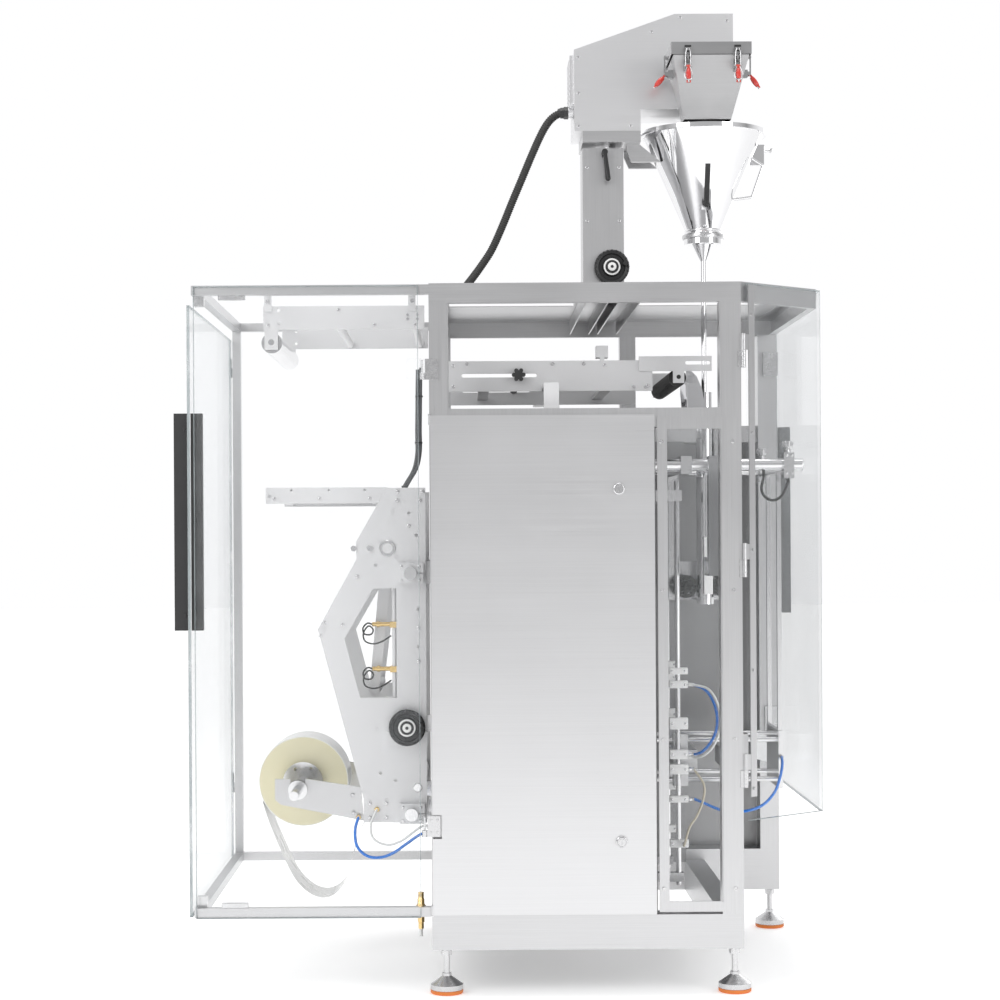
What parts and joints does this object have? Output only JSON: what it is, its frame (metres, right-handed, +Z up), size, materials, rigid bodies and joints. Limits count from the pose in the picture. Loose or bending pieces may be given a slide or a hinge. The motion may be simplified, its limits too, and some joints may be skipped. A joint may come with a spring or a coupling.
{
  "type": "vertical form fill seal machine",
  "caption": "Vertical form fill seal machine: brushed steel cabinet, film unwinder in a clear-doored cage, sealing bay with window and cone hopper auger head.",
  "frame": {"origin": "centre of the machine's outline at floor level", "axes": "+X towards the sealing bay and front door, +Y away from the cabinet door side, +Z up"},
  "size_m": [1.748, 1.0249, 2.65],
  "materials": {
    "frame_steel": "satin brushed stainless steel",
    "sheet_steel": "brushed stainless sheet",
    "door_steel": "fine horizontal brushed stainless steel",
    "rod_steel": "ground and polished steel",
    "white_plate": "white satin anodised aluminium",
    "clear": "clear acrylic with polished edges",
    "black_plastic": "black satin plastic",
    "black_rubber": "black rubber",
    "orange_pad": "orange rubber",
    "zinc": "bright zinc plated steel",
    "film": "pale yellow wound film",
    "web": "white packaging film",
    "brass": "machined brass",
    "tube_plastic": "blue, white and grey tubing",
    "electrics": "grey plate with moulded modules",
    "mirror_steel": "mirror polished stainless steel",
    "red_grip": "red dipped grip",
    "silicone": "light grey silicone rubber"
  },
  "bodies": {
    "frame": {"base_frame": "frame_steel", "frame_posts": "frame_steel", "top_frame": "frame_steel", "sheet_panels": "sheet_steel", "window_frame": "frame_steel", "window_pane": "clear", "panel_screws": "zinc", "levelling_feet": "zinc", "foot_pads": "orange_pad", "cage_frame": "frame_steel", "cage_hinges": "zinc", "electric_panel": "electrics", "guide_bars": "rod_steel", "upper_roller_frame": "white_plate", "web_carriage": "white_plate", "forming_shoulder": "mirror_steel", "forming_tube": "mirror_steel", "jaw_guides": "rod_steel", "column": "frame_steel", "air_tubes": "tube_plastic"},
    "cabinet_door": {"cabinet_door": "door_steel"},
    "upper_lock": {"upper_lock": "zinc"},
    "lower_lock": {"lower_lock": "zinc"},
    "rear_side_door": {"rear_side_pane": "clear"},
    "rear_end_door": {"rear_end_pane": "clear", "rear_end_handle": "black_plastic"},
    "front_door": {"front_pane": "clear", "front_door_strip": "frame_steel", "front_handle": "black_plastic"},
    "unwinder": {"unwinder_plates": "white_plate", "roll_arms": "frame_steel", "splice_table": "white_plate", "web_sensors": "brass", "film_web": "web"},
    "unwinder_handwheel": {"unwinder_handwheel": "black_plastic"},
    "film_roll": {"unwind_shaft": "rod_steel", "film_roll": "film"},
    "dancer": {"dancer_arm": "white_plate"},
    "feed_roller": {"feed_roller": "rod_steel"},
    "upper_roller": {"upper_roller": "rod_steel"},
    "ribbed_roller": {"ribbed_roller": "black_rubber"},
    "star_knob": {"star_knob": "black_plastic"},
    "left_jaw": {"left_jaw": "frame_steel"},
    "right_jaw": {"right_jaw": "frame_steel"},
    "side_sealer": {"side_sealer": "white_plate"},
    "left_pull_wheel": {"left_pull_wheel": "silicone"},
    "right_pull_wheel": {"right_pull_wheel": "silicone"},
    "head": {"head_supports": "frame_steel", "drive_housing": "door_steel", "feed_chute": "door_steel", "cone_hopper": "mirror_steel", "fill_tube": "mirror_steel", "drive_motor": "black_plastic", "head_conduit": "black_rubber"},
    "auger": {"auger_screw": "rod_steel"},
    "column_handwheel": {"column_handwheel": "black_plastic"},
    "column_clamp_lever": {"column_clamp_lever": "black_plastic"},
    "near_latches": {"near_latches": "red_grip"},
    "left_latch": {"left_latch": "red_grip"},
    "right_latch": {"right_latch": "red_grip"}
  },
  "joints": [
    {"name": "cabinet_door_hinge", "type": "hinge", "parent": "frame", "child": "cabinet_door", "pos_m": [-0.208, -0.496, 0.9], "axis": [0, 0, 1], "range_deg": [-100, 0]},
    {"name": "upper_lock_turn", "type": "hinge", "parent": "cabinet_door", "child": "upper_lock", "pos_m": [0.282, -0.488, 1.317], "axis": [0, 1, 0], "range_deg": [0, 90]},
    {"name": "lower_lock_turn", "type": "hinge", "parent": "cabinet_door", "child": "lower_lock", "pos_m": [0.284, -0.488, 0.402], "axis": [0, 1, 0], "range_deg": [0, 90]},
    {"name": "rear_side_door_hinge", "type": "hinge", "parent": "frame", "child": "rear_side_door", "pos_m": [-0.227, -0.496, 1], "axis": [0, 0, 1], "range_deg": [0, 110]},
    {"name": "rear_end_door_hinge", "type": "hinge", "parent": "frame", "child": "rear_end_door", "pos_m": [-0.833, 0.5, 1], "axis": [0, 0, 1], "range_deg": [-110, 0]},
    {"name": "front_door_hinge", "type": "hinge", "parent": "frame", "child": "front_door", "pos_m": [0.609, -0.492, 1.1], "axis": [0, 0, 1], "range_deg": [-100, 0]},
    {"name": "unwinder_slide", "type": "slide", "parent": "frame", "child": "unwinder", "axis": [0, 1, 0], "range_m": [-0.02, 0.02], "deforming": ["air_tubes"]},
    {"name": "unwinder_handwheel_turn", "type": "hinge", "parent": "unwinder", "child": "unwinder_handwheel", "pos_m": [-0.276, -0.488, 0.684], "axis": [0, 1, 0], "range_deg": [-361, 361]},
    {"name": "film_roll_spin", "type": "hinge", "parent": "unwinder", "child": "film_roll", "pos_m": [-0.573, 0.012, 0.514], "axis": [0, 1, 0], "continuous": true},
    {"name": "dancer_swing", "type": "hinge", "parent": "unwinder", "child": "dancer", "pos_m": [-0.327, 0.012, 1.165], "axis": [0, 1, 0], "range_deg": [-20, 15]},
    {"name": "feed_roller_spin", "type": "hinge", "parent": "unwinder", "child": "feed_roller", "pos_m": [-0.249, 0.012, 0.52], "axis": [0, 1, 0], "continuous": true},
    {"name": "upper_roller_spin", "type": "hinge", "parent": "frame", "child": "upper_roller", "pos_m": [-0.637, 0.012, 1.722], "axis": [0, 1, 0], "continuous": true},
    {"name": "ribbed_roller_spin", "type": "hinge", "parent": "frame", "child": "ribbed_roller", "pos_m": [0.46, 0.012, 1.622], "axis": [0, 1, 0], "continuous": true},
    {"name": "star_knob_slide", "type": "slide", "parent": "frame", "child": "star_knob", "axis": [1, 0, 0], "range_m": [-0.146, 0.042]},
    {"name": "left_jaw_slide", "type": "slide", "parent": "frame", "child": "left_jaw", "axis": [1, 0, 0], "range_m": [0, 0.034]},
    {"name": "right_jaw_slide", "type": "slide", "parent": "frame", "child": "right_jaw", "axis": [1, 0, 0], "range_m": [-0.034, 0]},
    {"name": "side_sealer_slide", "type": "slide", "parent": "frame", "child": "side_sealer", "axis": [0, 1, 0], "range_m": [0, 0.022]},
    {"name": "left_pull_wheel_spin", "type": "hinge", "parent": "frame", "child": "left_pull_wheel", "pos_m": [0.5067, 0.012, 1.05], "axis": [0, 1, 0], "continuous": true},
    {"name": "right_pull_wheel_spin", "type": "hinge", "parent": "frame", "child": "right_pull_wheel", "pos_m": [0.6193, 0.012, 1.05], "axis": [0, 1, 0], "continuous": true},
    {"name": "head_lift", "type": "slide", "parent": "frame", "child": "head", "axis": [0, 0, 1], "range_m": [0, 0.08], "deforming": ["head_conduit"]},
    {"name": "auger_spin", "type": "hinge", "parent": "head", "child": "auger", "pos_m": [0.563, 0.012, 1.5], "axis": [0, 0, 1], "continuous": true},
    {"name": "column_handwheel_turn", "type": "hinge", "parent": "frame", "child": "column_handwheel", "pos_m": [0.298, -0.488, 1.948], "axis": [0, 1, 0], "range_deg": [0, 230]},
    {"name": "column_clamp_turn", "type": "hinge", "parent": "frame", "child": "column_clamp_lever", "pos_m": [0.28, -0.488, 2.27], "axis": [0, 1, 0], "range_deg": [0, 70]},
    {"name": "near_latches_swing", "type": "hinge", "parent": "head", "child": "near_latches", "pos_m": [0.563, -0.262, 2.466], "axis": [1, 0, 0], "range_deg": [-120, 0]},
    {"name": "left_latch_swing", "type": "hinge", "parent": "head", "child": "left_latch", "pos_m": [0.443, -0.158, 2.466], "axis": [0, 1, 0], "range_deg": [0, 120]},
    {"name": "right_latch_swing", "type": "hinge", "parent": "head", "child": "right_latch", "pos_m": [0.673, -0.158, 2.466], "axis": [0, 1, 0], "range_deg": [-120, 0]}
  ],
  "couplings": [
    {"joint": "unwinder_handwheel_turn", "follows": "unwinder_slide", "rad_per_m": 314.16},
    {"joint": "right_jaw_slide", "follows": "left_jaw_slide", "ratio": -1},
    {"joint": "right_pull_wheel_spin", "follows": "left_pull_wheel_spin", "ratio": -1},
    {"joint": "column_handwheel_turn", "follows": "head_lift", "rad_per_m": 50}
  ]
}
